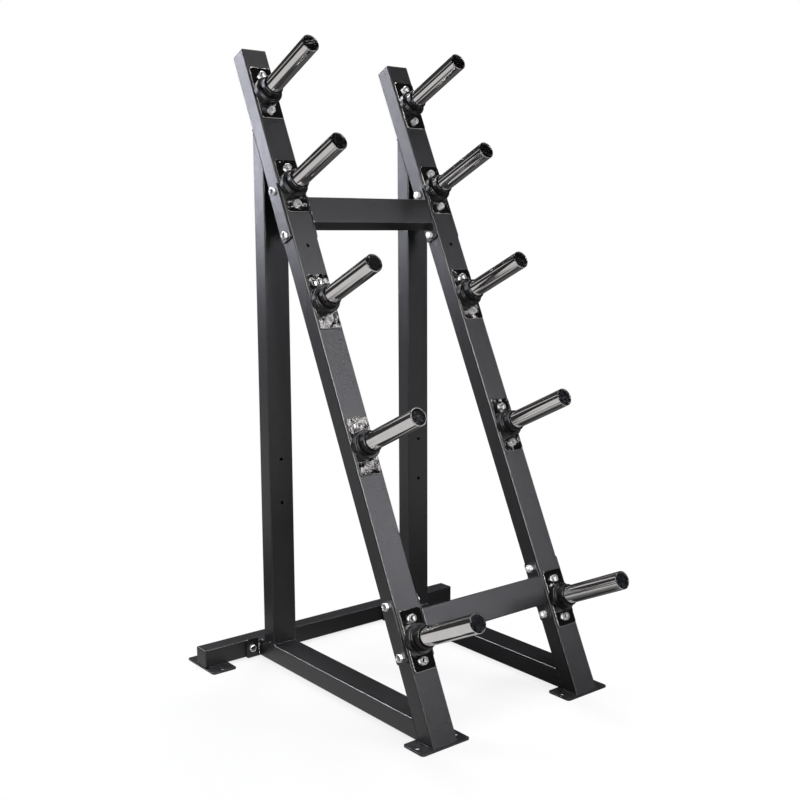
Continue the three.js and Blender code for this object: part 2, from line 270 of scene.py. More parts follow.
class PlateTreeFinishes(bpy.types.PropertyGroup):
    """Colours and finishes of the pieces."""

    coat_tone: tone((0.0130, 0.0130, 0.0142), "Powder coat", "Colour of the frame's powder coat")
    coat_roughness: share(0.34, "Powder coat roughness", "Roughness of the powder coat")
    chrome_tone: tone((0.58, 0.562, 0.557), "Chrome", "Colour of the posts' chrome")
    zinc_tone: tone((0.90, 0.90, 0.91), "Zinc", "Colour of the bolts' zinc plating")
    rubber_tone: tone((0.007, 0.007, 0.008), "Rubber", "Colour of the collars' rubber")
    plug_tone: tone((0.008, 0.008, 0.010), "Plug", "Colour of the posts' glossy plugs")
    cap_tone: tone((0.018, 0.018, 0.019), "Cap", "Colour of the tubes' end caps")


class PlateTreeStudio(bpy.types.PropertyGroup):
    """Camera, lamps and floor."""

    camera_place: place((-1.88418, -2.26402, 1.20876), "Camera place", "Where the camera stands")
    camera_turn: FloatVectorProperty(
        name="Camera turn",
        description="The camera's rotation about X, Y and Z",
        default=tuple(math.radians(angle) for angle in (81.54791, 0.26410, -38.69724)),
        unit="ROTATION",
        subtype="EULER",
    )
    camera_sensor: FloatProperty(
        name="Camera sensor",
        description="Width of the sensor, in millimetres",
        default=36.0,
        min=1.0,
    )
    camera_lens: FloatProperty(
        name="Camera lens", description="Focal length, in millimetres", default=49.526, min=1.0
    )
    camera_shift: FloatVectorProperty(
        name="Camera shift",
        description="Shift of the lens across and up, in picture widths",
        default=(-0.00096, 0.00178),
        size=2,
    )
    camera_near: length(0.05, "Nearest view", "Nearest distance that the camera sees")
    camera_far: length(200.0, "Farthest view", "Farthest distance that the camera sees")
    floor_tone: tone((0.62, 0.62, 0.62), "Floor", "Colour of the floor near the rack")
    floor_size: length(60.0, "Floor size", "Side of the floor")
    # The glowing cloth that paints reflections, and the rack's painted shadow, into the plating
    flag_distance: length(6.5, "Flag distance", "How far the dark cloth stands off")
    flag_height: length(20.0, "Flag height", "Height of the dark cloth")
    flag_lift: length(0.001, "Flag lift", "How far the cloth on the floor lies above it")
    ambient: FloatProperty(
        name="Ambient light",
        description="Strength of the light from all round",
        default=0.055,
        min=0.0,
    )


# Meshes


def bevel(bm, geom, offset, segments, affect, clamp=False):
    """Rounds corners or edges."""
    bmesh.ops.bevel(
        bm,
        geom=geom,
        offset=offset,
        offset_type="OFFSET",
        segments=segments,
        profile=0.5,
        affect=affect,
        clamp_overlap=clamp,
        material=-1,
    )


def outline(bm, wide, tall, corner):
    """A flat face with rounded corners, centred on the origin in the XY plane."""
    bmesh.ops.create_grid(bm, x_segments=1, y_segments=1, size=0.5)
    bmesh.ops.scale(bm, vec=(wide, tall, 1), verts=bm.verts)
    bevel(bm, list(bm.verts), corner, CORNER_STEPS, "VERTICES")


def lift(bm, made, height):
    """Moves up what an extrusion made."""
    lifted = [vert for vert in made["geom"] if isinstance(vert, bmesh.types.BMVert)]
    bmesh.ops.translate(bm, vec=(0, 0, height), verts=lifted)


def raise_faces(bm, height):
    """Turns the flat faces into a solid of that height."""
    lift(bm, bmesh.ops.extrude_face_region(bm, geom=list(bm.faces)), height)
    bmesh.ops.recalc_face_normals(bm, faces=list(bm.faces))


def ease(bm, width, segments=EASE_STEPS, above=-math.inf):
    """Rounds every sharp edge above a height."""
    sharp = [
        edge
        for edge in bm.edges
        if edge.is_manifold
        and edge.calc_face_angle(0.0) > EASE_ANGLE
        and min(vert.co.z for vert in edge.verts) > above
    ]
    bevel(bm, sharp, width, segments, "EDGES", clamp=True)


def plate(wide, tall, thick, corner, edge):
    """A cut plate that lies on z = 0, centred, with rounded corners and eased edges."""
    bm = bmesh.new()
    outline(bm, wide, tall, corner)
    raise_faces(bm, thick)
    if edge:
        ease(bm, edge)
    return bm


def tube(sizes, wide, narrow, long):
    """A straight tube from z = 0 up, its first side along X."""
    bm = bmesh.new()
    outline(bm, wide, narrow, sizes.tube_corner)
    middle = list(bm.faces)
    wall = sizes.tube_wall
    bmesh.ops.inset_region(
        bm, faces=middle, thickness=wall, use_even_offset=True, use_boundary=True
    )
    bmesh.ops.delete(bm, geom=middle, context="FACES_ONLY")
    raise_faces(bm, long)
    return bm


def frame_tube(sizes, long):
    """A straight tube of the side frames, its wide side along X."""
    return tube(sizes, sizes.tube_wide, sizes.tube_narrow, long)


def mitre(bm, point, normal):
    """Cuts off what lies on the normal's side of a plane, and closes the cut wall."""
    everything = list(bm.verts) + list(bm.edges) + list(bm.faces)
    bmesh.ops.bisect_plane(bm, geom=everything, plane_co=point, plane_no=normal, clear_outer=True)
    bmesh.ops.bridge_loops(bm, edges=[edge for edge in bm.edges if edge.is_boundary])
    bmesh.ops.recalc_face_normals(bm, faces=list(bm.faces))


def turned(profile, steps, closed):
    """A solid turned about Z from (radius, height, rounding) points, in a ring or axis to axis."""
    bm = bmesh.new()
    verts = [bm.verts.new((radius, 0, height)) for radius, height, _ in profile]
    for start, end in zip(verts, verts[1:] + verts[:1] if closed else verts[1:]):
        bm.edges.new((start, end))
    for vert, (_, _, rounding) in zip(verts, profile):
        if rounding:
            bevel(bm, [vert], rounding, ROUND_STEPS, "VERTICES")
    bmesh.ops.spin(
        bm,
        geom=list(bm.verts) + list(bm.edges),
        cent=(0, 0, 0),
        axis=(0, 0, 1),
        angle=2 * math.pi,
        steps=steps,
        use_merge=True,
    )
    bmesh.ops.remove_doubles(bm, verts=bm.verts, dist=MERGE_DISTANCE)
    bmesh.ops.recalc_face_normals(bm, faces=list(bm.faces))
    return bm


def mesh_of(name, bm):
    """Puts a bmesh into a new mesh and frees it."""
    mesh = bpy.data.meshes.new(name)
    bm.to_mesh(mesh)
    bm.free()
    return mesh


def add_object(name, data):
    """A new object in the scene."""
    made = bpy.data.objects.new(name, data)
    bpy.context.scene.collection.objects.link(made)
    return made


def carved(bm, tool, operation="DIFFERENCE"):
    """The solid with another taken away, or cut down to what they share."""
    body, cutter = (
        add_object(name, mesh_of(name, shape)) for name, shape in (("carved", bm), ("tool", tool))
    )
    modifier = body.modifiers.new("carve", "BOOLEAN")
    modifier.operation = operation
    modifier.solver = "EXACT"
    modifier.object = cutter
    bpy.context.view_layer.update()
    made = bmesh.new()
    made.from_object(body, bpy.context.evaluated_depsgraph_get())
    for holder in (body, cutter):
        mesh = holder.data
        bpy.data.objects.remove(holder)
        bpy.data.meshes.remove(mesh)
    if not made.faces:
        raise RuntimeError("Nothing was left of a carved piece")
    return made


def drilled(bm, radius, wall, direction, middles):
    """The solid with round holes of one radius through a wall of it."""
    bars = bmesh.new()
    turned_to = Vector(direction).to_track_quat("Z", "Y").to_matrix().to_4x4()
    for middle in middles:
        bmesh.ops.create_cone(
            bars,
            cap_ends=True,
            segments=SMALL_STEPS,
            radius1=radius,
            radius2=radius,
            depth=DRILL_WALLS * wall,
            matrix=Matrix.Translation(middle) @ turned_to,
        )
    return carved(bm, bars)


def gathered(parts):
    """One bmesh of several meshes, each put in its place."""
    bm = bmesh.new()
    for mesh, matrix in parts:
        first = len(bm.verts)
        bm.from_mesh(mesh)
        bm.verts.ensure_lookup_table()
        bmesh.ops.transform(bm, matrix=matrix, verts=bm.verts[first:])
    return bm


def joined(*parts):
    """One bmesh of several, each put in its place."""
    meshes = [mesh_of("part", bm) for bm, _ in parts]
    made = gathered([(mesh, matrix) for mesh, (_, matrix) in zip(meshes, parts)])
    remove_meshes(*meshes)
    return made


def remove_meshes(*meshes):
    """Deletes meshes that have been put together into others."""
    for mesh in meshes:
        bpy.data.meshes.remove(mesh)


def add_piece(name, bm, matrix, skin, *nodes):
    """Makes a finished object, with its place in its mesh, that rides on the frame."""
    bmesh.ops.transform(bm, matrix=matrix, verts=bm.verts)
    mesh = mesh_of(name, bm)
    mesh.shade_smooth()
    mesh.set_sharp_from_angle(angle=SMOOTH_ANGLE)
    mesh.materials.append(finish(skin))
    piece = add_object(name, mesh)
    weighted = piece.modifiers.new("flat_faces_stay_flat", "WEIGHTED_NORMAL")
    weighted.keep_sharp = True
    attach(piece, "root")
    if nodes:
        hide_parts(*nodes)


# Places


def moved(x=0.0, y=0.0, z=0.0):
    """A move without a turn."""
    return Matrix.Translation((x, y, z))


def leaning(sizes, x=0.0, level=0.0, depth=0.0):
    """The place on an upright: +Z runs up it, and -Y out of its front face."""
    tilt = Matrix.Rotation(-sizes.lean, 4, "X")
    return moved(x, sizes.face_line) @ tilt @ moved(0, depth, level)


def frame_x(sizes, side):
    """The middle of a side frame, across the rack."""
    return SIDES[side] * sizes.frame_spacing / 2


def rear_face_y(sizes, height):
    """Where the front uprights' rear faces are, along Y, at a height above the floor."""
    reach = (sizes.tube_narrow + height * math.sin(sizes.lean)) / math.cos(sizes.lean)
    return sizes.face_line + reach


def rear_face_height(sizes, y):
    """How high the front uprights' rear faces are at a place along Y."""
    reach = (y - sizes.face_line) * math.cos(sizes.lean) - sizes.tube_narrow
    return reach / math.sin(sizes.lean)


def rail_level(sizes, rail):
    """How far up the uprights a cross rail's middle is."""
    low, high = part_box(f"{rail}_rail")
    return (leaning(sizes).inverted() @ ((low + high) / 2)).z


def each_post(sizes):
    """Each post's name, its number from below, and its place: +Z out of the upright's face."""
    for side in SIDES:
        for number, level in enumerate(POST_LEVELS, 1):
            at_face = leaning(sizes, frame_x(sizes, side), level) @ FACE_FRONT
            yield f"{side}_{number}", number, at_face


# Finishes


def add_node(tree, kind, values=None, **settings):
    """A node with its settings and its inputs' values or links."""
    node = tree.nodes.new("ShaderNode" + kind)
    for key, value in settings.items():
        setattr(node, key, value)
    for key, value in (values or {}).items():
        if isinstance(value, bpy.types.NodeSocket):
            tree.links.new(value, node.inputs[key])
        else:
            node.inputs[key].default_value = value
    return node


def noise(tree, vector, scale, detail):
    """Noise at a scale."""
    values = {"Vector": vector, "Scale": scale, "Detail": detail}
    return add_node(tree, "TexNoise", values).outputs["Fac"]


def maths(tree, operation, *values):
    """The result of a sum."""
    return add_node(tree, "Math", dict(enumerate(values)), operation=operation).outputs[0]


def mixed(tree, factor, low, high, kind="FLOAT"):
    """A value or colour between two others."""
    values = {"Factor": factor, "A": low, "B": high}
    return add_node(tree, "Mix", values, data_type=kind).outputs["Result"]


def ranged(tree, value, low, high, start=0.0, end=1.0, smooth=False):
    """Runs from low to high while the value runs from start to end."""
    values = {"Value": value, "From Min": start, "From Max": end, "To Min": low, "To Max": high}
    curve = "SMOOTHSTEP" if smooth else "LINEAR"
    return add_node(tree, "MapRange", values, interpolation_type=curve).outputs["Result"]


def new_group(name, inputs, outputs):
    """A shader node group that reads a vector and numbers, and puts out numbers."""
    tree = bpy.data.node_groups.new(name, "ShaderNodeTree")
    tree.interface.new_socket(name="Vector", in_out="INPUT", socket_type="NodeSocketVector")
    for label, default in inputs.items():
        kind = "NodeSocketFloat"
        socket = tree.interface.new_socket(name=label, in_out="INPUT", socket_type=kind)
        socket.default_value = default
    for label in outputs:
        tree.interface.new_socket(name=label, in_out="OUTPUT", socket_type="NodeSocketFloat")
    start, end = tree.nodes.new("NodeGroupInput"), tree.nodes.new("NodeGroupOutput")
    return tree, start.outputs, end.inputs


# The broad swell's scale as a share of the fine grain's
SWELL_SHARE = 0.21

# Where a hairline starts in its noise, before its amount is taken off, and where it is full
HAIRLINE_START = 0.75
HAIRLINE_FULL = 0.85


def grain_group(name):
    """Fine bumps of a moulded or sprayed skin: broad swell with small grain over it."""
    tree, start, end = new_group(name, {"Scale": 900.0, "Swell": 0.3}, ("Height", "Mask"))
    fine = noise(tree, start["Vector"], start["Scale"], detail=3.0)
    broad_scale = maths(tree, "MULTIPLY", start["Scale"], SWELL_SHARE)
    broad = noise(tree, start["Vector"], broad_scale, detail=1.0)
    tree.links.new(mixed(tree, start["Swell"], fine, broad), end["Height"])
    tree.links.new(fine, end["Mask"])
    return tree


def mottle_group(name):
    """Slow variation of tone over a surface."""
    tree, start, end = new_group(name, {"Scale": 9.0}, ("Value",))
    cloud = noise(tree, start["Vector"], start["Scale"], detail=4.0)
    tree.links.new(ranged(tree, cloud, low=0.0, high=1.0, start=0.3, end=0.7), end["Value"])
    return tree


def marks_group(name):
    """Hairline marks along one direction, such as drawing and handling leave on plating."""
    tree, start, end = new_group(name, {"Scale": 60.0, "Amount": 0.2}, ("Mask",))
    lines = noise(tree, start["Vector"], start["Scale"], detail=2.0)
    limit = maths(tree, "SUBTRACT", HAIRLINE_START, start["Amount"])
    mask = ranged(tree, lines, low=0.0, high=1.0, start=limit, end=HAIRLINE_FULL)
    tree.links.new(mask, end["Mask"])
    return tree


EFFECTS = {"skin_grain": grain_group, "tone_mottle": mottle_group, "hairline_marks": marks_group}


def effect(tree, name, vector, **values):
    """The outputs of a shared group in a material, with its own values."""
    group = bpy.data.node_groups.get(name) or EFFECTS[name](name)
    return add_node(tree, "Group", {"Vector": vector, **values}, node_tree=group).outputs


def start_finish(name, constants):
    """A material's nodes, its Principled shader with constants, and its object coordinates."""
    material = bpy.data.materials.new(name)
    material.use_nodes = True
    tree = material.node_tree
    shader = tree.nodes["Principled BSDF"]
    for key, value in constants.items():
        shader.inputs[key].default_value = value
    return tree, shader, add_node(tree, "TexCoord").outputs["Object"]


def tint(tree, shader, colour, factor, shades):
    """Feeds the base colour: the tone, between a darker and a lighter shade of itself."""
    dark, light = ([c * shade for c in colour] + [1.0] for shade in shades)
    tree.links.new(mixed(tree, factor, dark, light, "RGBA"), shader.inputs["Base Color"])


def bump(tree, shader, height, strength, distance):
    """Feeds the normal from a height."""
    values = {"Height": height, "Strength": strength, "Distance": distance}
    tree.links.new(add_node(tree, "Bump", values).outputs["Normal"], shader.inputs["Normal"])


def powder_coat(name, scene):
    """Satin black powder coat with a fine sprayed grain."""
    finishes = scene.plate_tree_finishes
    tree, shader, where = start_finish(name, {"Specular IOR Level": 0.36, "IOR": 1.5})
    grain = effect(tree, "skin_grain", where, Scale=300.0, Swell=0.3)
    slow = effect(tree, "tone_mottle", where, Scale=5.0)["Value"]
    tint(tree, shader, finishes.coat_tone, grain["Mask"], (0.72, 1.28))
    satin = finishes.coat_roughness
    base = ranged(tree, slow, low=satin - 0.02, high=satin + 0.03)
    speckle = ranged(tree, grain["Mask"], low=-0.045, high=0.045, start=0.35, end=0.65)
    tree.links.new(maths(tree, "ADD", base, speckle), shader.inputs["Roughness"])
    bump(tree, shader, grain["Height"], 1.0, 0.0006)


# How deep and how close the waves under the plating are: drawn tube is nearly smooth, and sheared
# plate is left wavy by the heat of welding
PLATING_WAVES = {"post_chrome": (0.00003, 90.0), "plate_chrome": (0.0040, 180.0)}

# Hairlines: how much longer they are than they are apart, and how much rougher than the plating
HAIRLINE_STRETCH = 25.0
HAIRLINE_ROUGHNESS = 0.16


def plating(name, scene):
    """Bright plating with faint marks along the posts, over steel that is more or less wavy."""
    tree, shader, where = start_finish(name, {"Metallic": 1.0})
    values = {
        "Vector": where,
        "Rotation": (-scene.plate_tree_sizes.lean, 0, 0),
        "Scale": (1.0, HAIRLINE_STRETCH, 1.0),
    }
    along = add_node(tree, "Mapping", values, vector_type="TEXTURE").outputs["Vector"]
    marks = effect(tree, "hairline_marks", along, Scale=900.0, Amount=0.12)["Mask"]
    smudge = effect(tree, "tone_mottle", where, Scale=22.0)["Value"]
    tint(tree, shader, scene.plate_tree_finishes.chrome_tone, smudge, (0.94, 1.03))
    base = ranged(tree, smudge, low=0.05, high=0.10)
    rough = maths(tree, "MULTIPLY_ADD", marks, HAIRLINE_ROUGHNESS, base)
    tree.links.new(rough, shader.inputs["Roughness"])
    depth, closeness = PLATING_WAVES[name]
    swell = effect(tree, "skin_grain", where, Scale=closeness, Swell=0.85)
    bump(tree, shader, swell["Height"], 1.0, depth)


# For each: the shader's constants, the tone, the scale of the clouds in it (none: the skin's own
# grain takes their place), the clouds' shades and roughness, the skin's scale and swell, and the
# strength and depth of its bumps
CLOUDED = {
    # Zinc on forged bolts and nuts: bright, slightly cloudy
    "bolt_zinc": (
        {"Metallic": 0.8},
        "zinc_tone",
        260.0,
        (0.86, 1.05),
        (0.42, 0.56),
        (1400.0, 0.5),
        (0.15, 0.0001),
    ),
    # Moulded rubber of the collars, with a dull bloom in places
    "collar_rubber": (
        {"Specular IOR Level": 0.17},
        "rubber_tone",
        45.0,
        (0.8, 1.35),
        (0.25, 0.33),
        (1100.0, 0.4),
        (0.18, 0.00012),
    ),
    # Glossy, crinkled plastic of the posts' plugs
    "plug_gloss": (
        {"Specular IOR Level": 0.5},
        "plug_tone",
        70.0,
        (0.85, 1.2),
        (0.08, 0.14),
        (210.0, 0.7),
        (1.0, 0.0055),
    ),
    # Plastic of the end caps, with the fine texture of a spark-eroded mould
    "cap_plastic": (
        {"Specular IOR Level": 0.45},
        "cap_tone",
        None,
        (0.8, 1.2),
        (0.42, 0.55),
        (1000.0, 0.2),
        (0.3, 0.0002),
    ),
}


def clouded(name, scene):
    """A finish with clouds of tone and roughness, and a fine skin."""
    constants, tone_name, cloud_scale, shades, roughness, (scale, swell), relief = CLOUDED[name]
    tree, shader, where = start_finish(name, constants)
    skin = effect(tree, "skin_grain", where, Scale=scale, Swell=swell)
    cloud = skin["Mask"]
    if cloud_scale:
        cloud = effect(tree, "tone_mottle", where, Scale=cloud_scale)["Value"]
    tint(tree, shader, getattr(scene.plate_tree_finishes, tone_name), cloud, shades)
    tree.links.new(ranged(tree, cloud, *roughness), shader.inputs["Roughness"])
    bump(tree, shader, skin["Height"], *relief)


def seen_light(tree, ambient):
    """White for a ray from the camera, a mirror or glass, and the ambient light for others."""
    path = add_node(tree, "LightPath").outputs
    mirrored = maths(tree, "MAXIMUM", path["Is Camera Ray"], path["Is Glossy Ray"])
    seen = maths(tree, "MAXIMUM", mirrored, path["Is Transmission Ray"])
    return mixed(tree, seen, ambient, 1.0)


def floor_paper(name, scene):
    """Pale paper near the rack, which keeps its shadow and fades to white further off."""
    studio = scene.plate_tree_studio
    tree, shader, where = start_finish(name, {"Roughness": 0.9, "Specular IOR Level": 0.0})
    fibre = effect(tree, "tone_mottle", where, Scale=30.0)["Value"]
    tint(tree, shader, studio.floor_tone, fibre, (0.995, 1.005))
    distance = add_node(tree, "VectorMath", {0: where}, operation="LENGTH").outputs["Value"]
    far = ranged(tree, distance, low=0.8, high=1.0, start=0.6, end=2.0, smooth=True)
    glow = add_node(tree, "Emission", {"Strength": seen_light(tree, studio.ambient)})
    values = {0: far, 1: shader.outputs["BSDF"], 2: glow.outputs["Emission"]}
    surface = add_node(tree, "MixShader", values).outputs["Shader"]
    tree.links.new(surface, tree.nodes["Material Output"].inputs["Surface"])


# The glowing cloth: the middle of the rack's shadow, which is painted on it as a dark patch in its
# glow, and the distances over which its parts fade, in metres: from the shadow's middle, across the
# floor, or up and along the wall
PAINTED_RACK_SHADOW = (-0.65, 1.05, 0.0)
CLOTH_FADES = {
    "shadow": (0.25, 0.62),
    "floor_right": (-0.25, 0.15),
    "floor_front": (-0.3, -0.9),
    "wall_foot": (0.005, 0.02),
    "wall_rear": (3.0, 5.5),
    "strip_foot": (2.2, 2.35),
    "strip_top": (2.75, 2.9),
    "strip_right": (-1.0, 2.0),
}


def flag_cloth(name, scene):
    """Glowing cloth seen only in reflections: white on the floor to the left, dark elsewhere, with
    the rack's shadow painted behind it and a bright strip painted on its wall as a light.
    """
    tree, shader, where = start_finish(name, {})
    tree.nodes.remove(shader)
    part = add_node(tree, "SeparateXYZ", {"Vector": where}).outputs

    def fade(value, part_name, low=0.0, high=1.0):
        start, end = CLOTH_FADES[part_name]
        return ranged(tree, value, low, high, start, end, smooth=True)

    # Painted shadow: the glow dims round the point where the rack's shadow would fall, so the
    # chrome mirrors shade there
    values = {0: where, 1: PAINTED_RACK_SHADOW}
    shadow = add_node(tree, "VectorMath", values, operation="DISTANCE").outputs["Value"]
    left_floor = fade(shadow, "shadow", low=0.06, high=0.85)
    right_floor = fade(part["Y"], "floor_front", low=0.12)
    floor = mixed(tree, fade(part["X"], "floor_right"), left_floor, right_floor)
    dark_wall = fade(part["Y"], "wall_rear", low=0.01, high=0.05)
    # Painted light: a bright strip in the wall's glow, which the frame's upward faces and the
    # chrome mirror as a lamp
    strip = mixed(tree, fade(part["Z"], "strip_top"), fade(part["Z"], "strip_foot"), 0.0)
    bright = mixed(tree, fade(part["X"], "strip_right"), 0.8, 0.3)
    bright_rear = mixed(tree, fade(part["Y"], "wall_rear"), 0.01, bright)
    wall = mixed(tree, strip, dark_wall, bright_rear)
    strength = mixed(tree, fade(part["Z"], "wall_foot"), floor, wall)
    glow = add_node(tree, "Emission", {"Strength": strength}).outputs["Emission"]
    tree.links.new(glow, tree.nodes["Material Output"].inputs["Surface"])


# The record's material slot for each finish, where it is the rack's, and what makes the finish
FINISHES = {
    "powder_coat": ("frame", powder_coat),
    "post_chrome": ("post", plating),
    "plate_chrome": ("post", plating),
    "bolt_zinc": ("post", clouded),
    "collar_rubber": ("collar", clouded),
    "plug_gloss": ("plug", clouded),
    "cap_plastic": ("cap", clouded),
    "floor_paper": (None, floor_paper),
    "flag_cloth": (None, flag_cloth),
}


def finish(name):
    """A finish by its name, made the first time it is asked for."""
    if name not in bpy.data.materials:
        _, make = FINISHES[name]
        make(name, bpy.context.scene)
    return bpy.data.materials[name]


# Fasteners


def hexagon(sizes, height, chamfer_both):
    """A hexagonal head or nut from z = 0 up, its corners chamfered as a forged one's are."""
    corner = sizes.bolt_head_radius
    face = corner * math.cos(math.pi / 6) * FACE_SHARE
    drop = (corner - face) * math.tan(CHAMFER_ANGLE)
    wide = corner * CONE_SHARE
    bm = bmesh.new()
    bmesh.ops.create_circle(bm, cap_ends=True, radius=corner, segments=6)
    raise_faces(bm, height)
    profile = [
        (0, 0, 0),
        (face if chamfer_both else corner * CONE_FOOT_SHARE, 0, 0),
        (wide, drop if chamfer_both else 0, 0),
        (wide, height - drop, 0),
        (face, height, 0),
        (0, height, 0),
    ]
    made = carved(bm, turned(profile, sizes.turn_steps, closed=False), "INTERSECT")
    ease(made, sizes.bolt_edge, FINE_EASE_STEPS)
    return made


def threaded_end(sizes):
    """The end of a bolt past its nut, from z = 0 up, with its thread as rings."""
    root = sizes.bolt_radius * THREAD_ROOT_SHARE
    half = sizes.thread_pitch / 2
    teeth = max(1, int(sizes.bolt_tail / sizes.thread_pitch))
    profile = [(0, -half, 0), (root, -half, 0)]
    for tooth in range(teeth):
        base = tooth * sizes.thread_pitch
        profile += [(sizes.bolt_radius, base + half, 0), (root, base + 2 * half, 0)]
    profile += [(root * THREAD_TIP_SHARE, sizes.bolt_tail, 0), (0, sizes.bolt_tail, 0)]
    return turned(profile, SMALL_STEPS, closed=False)


def bolt_head(sizes):
    """A mesh of a bolt's head."""
    return mesh_of("bolt_head", hexagon(sizes, sizes.bolt_head_height, False))


def bolt_nut(sizes):
    """A mesh of a nut with the bolt's end through it."""
    nut = hexagon(sizes, sizes.nut_height, True)
    end = threaded_end(sizes)
    return mesh_of("bolt_nut", joined((nut, HERE), (end, moved(z=sizes.nut_height))))


def bolt_pair(mesh, face, across, up, out, first):
    """Two heads or nuts on a face, either side of its middle, numbered from the first one."""
    pair = []
    step, jump = SPANNER_TURNS
    for number, end in enumerate(ENDS, first):
        turn = Matrix.Rotation(math.radians(step * number + jump * (number % 3)), 4, "Z")
        pair.append((mesh, face @ moved(end * across, end * up, out) @ turn))
    return pair


def end_cap(sizes, wide, narrow):
    """An end cap whose flange stands on z = 0, with rounded rims and its stem below."""
    flange = plate(wide, narrow, sizes.cap_thick, sizes.tube_corner, 0)
    ease(flange, sizes.cap_round, ROUND_STEPS, above=sizes.cap_thick / 2)
    play = 2 * (sizes.tube_wall + sizes.seat_gap)
    stem = plate(wide - play, narrow - play, sizes.cap_stem, sizes.stem_corner, 0)
    return joined((flange, HERE), (stem, moved(z=-sizes.cap_stem)))


# Welds


def ripple_spacing(sizes):
    """How far apart a bead's points are."""
    return sizes.weld_ripple / len(RIPPLE_SHARES)


def seam(sizes, wide, tall):
    """Points round a tube's outline centred on the origin, evenly spaced, as (x, y)."""
    points = []
    corner, spacing = sizes.tube_corner, ripple_spacing(sizes)
    across, up = wide / 2 - corner, tall / 2 - corner
    corners = ((across, up), (-across, up), (-across, -up), (across, -up))
    steps = max(2, round(corner * QUARTER / spacing))
    for index, (x, y) in enumerate(corners):
        for step in range(steps + 1):
            angle = (index + step / steps) * QUARTER
            points.append((x + corner * math.cos(angle), y + corner * math.sin(angle)))
        run = Vector(corners[(index + 1) % 4]) - Vector((x, y))
        count = max(1, round(run.length / spacing))
        begin, stride = Vector(points[-1]), run / count
        points += [tuple(begin + stride * number) for number in range(1, count)]
    return points


def bead(name, points, radii, closed):
    """A weld bead along a path, rippled by the torch's steps."""
    curve = bpy.data.curves.new(name, "CURVE")
    curve.dimensions = "3D"
    curve.bevel_depth = 1.0
    curve.bevel_resolution = 2
    curve.use_fill_caps = not closed
    spline = curve.splines.new("POLY")
    spline.points.add(len(points) - 1)
    spline.use_cyclic_u = closed
    for index, (knot, point, radius) in enumerate(zip(spline.points, points, radii)):
        wander = sum(size * math.sin(index * pace) for size, pace in WANDER_SHARES)
        knot.co = (*point, 1.0)
        knot.radius = radius * (RIPPLE_SHARES[index % len(RIPPLE_SHARES)] + wander)
    holder = add_object(name, curve)
    bpy.context.view_layer.update()
    shaped = holder.evaluated_get(bpy.context.evaluated_depsgraph_get())
    rope = bpy.data.meshes.new_from_object(shaped)
    bm = bmesh.new()
    bm.from_mesh(rope)
    bpy.data.objects.remove(holder)
    bpy.data.curves.remove(curve)
    bpy.data.meshes.remove(rope)
    bmesh.ops.remove_doubles(bm, verts=bm.verts, dist=MERGE_DISTANCE)
    bmesh.ops.recalc_face_normals(bm, faces=list(bm.faces))
    if not bm.faces:
        raise RuntimeError("A weld bead came out empty: " + name)
    return bm


def add_weld(name, points, radii, closed=True):
    """Makes a weld bead, under the same powder coat as the steel it joins."""
    add_piece(name, bead(name, points, radii, closed), HERE, "powder_coat")


def add_flush_weld(sizes, name, spots, normal, closed=True):
    """Makes a bead at (across, point) spots that is ground flush on the sides two tubes share.

    There it lies in the hollow beside the rounded edge of the tube with that normal.
    """
    points, radii = [], []
    for across, point in spots:
        flush = abs(across) > sizes.tube_wide / 2 - sizes.weld_strip
        if flush:
            sink = math.copysign(sizes.weld_sink, across)
            point = point - Vector((sink, 0, 0)) - normal * sizes.weld_shift
        points.append(point)
        radii.append(sizes.weld_flush if flush else sizes.weld_leg)
    add_weld(name, points, radii, closed)


def weld_side_frame(sizes, side):
    """Beads round the ends of a side frame's tubes."""
    x = frame_x(sizes, side)
    half_narrow = sizes.tube_narrow / 2
    outer = seam(sizes, sizes.tube_wide, sizes.tube_narrow)
    rear_normal = Vector((0, math.cos(sizes.lean), -math.sin(sizes.lean)))

    foot_top = sizes.strip_thick
    points, radii = [], []
    for across, deep in outer:
        reach = (deep + half_narrow + foot_top * math.sin(sizes.lean)) / math.cos(sizes.lean)
        points.append((x + across, sizes.face_line + reach, foot_top))
        in_front = deep < -half_narrow + sizes.weld_front_strip
        radii.append(sizes.weld_front if in_front else sizes.weld_leg)
    add_weld(f"upright_foot_weld_{side}", points, radii)

    low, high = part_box(f"rear_upright_{side}")
    middle_y = (low.y + high.y) / 2
    foot_spots, top_spots = [], []
    for across, deep in outer:
        y = middle_y + deep
        foot_spots.append((across, Vector((x + across, y, low.z))))
        top_spots.append((across, Vector((x + across, y, rear_face_height(sizes, y)))))
    add_flush_weld(sizes, f"rear_upright_foot_weld_{side}", foot_spots, Vector((0, 0, 1)))
    add_flush_weld(sizes, f"rear_upright_top_weld_{side}", top_spots, rear_normal)

    low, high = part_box(f"base_rail_{side}")
    middle_z = (low.z + high.z) / 2
    loop = [spot for spot in outer if spot[1] > -half_narrow + sizes.weld_clear]
    split = max(range(len(loop)), key=lambda index: math.dist(loop[index], loop[index - 1]))
    spots = []
    for across, up in loop[split:] + loop[:split]:
        z = middle_z + up
        spots.append((across, Vector((x + across, rear_face_y(sizes, z), z))))
    add_flush_weld(sizes, f"base_rail_front_weld_{side}", spots, rear_normal, closed=False)

    points, radii = [], []
    for across, up in outer:
        points.append((x + across, high.y, middle_z + up))
        level = abs(up) > half_narrow - sizes.weld_strip
        radii.append(sizes.weld_flush if level else sizes.weld_leg)
    add_weld(f"base_rail_rear_weld_{side}", points, radii)


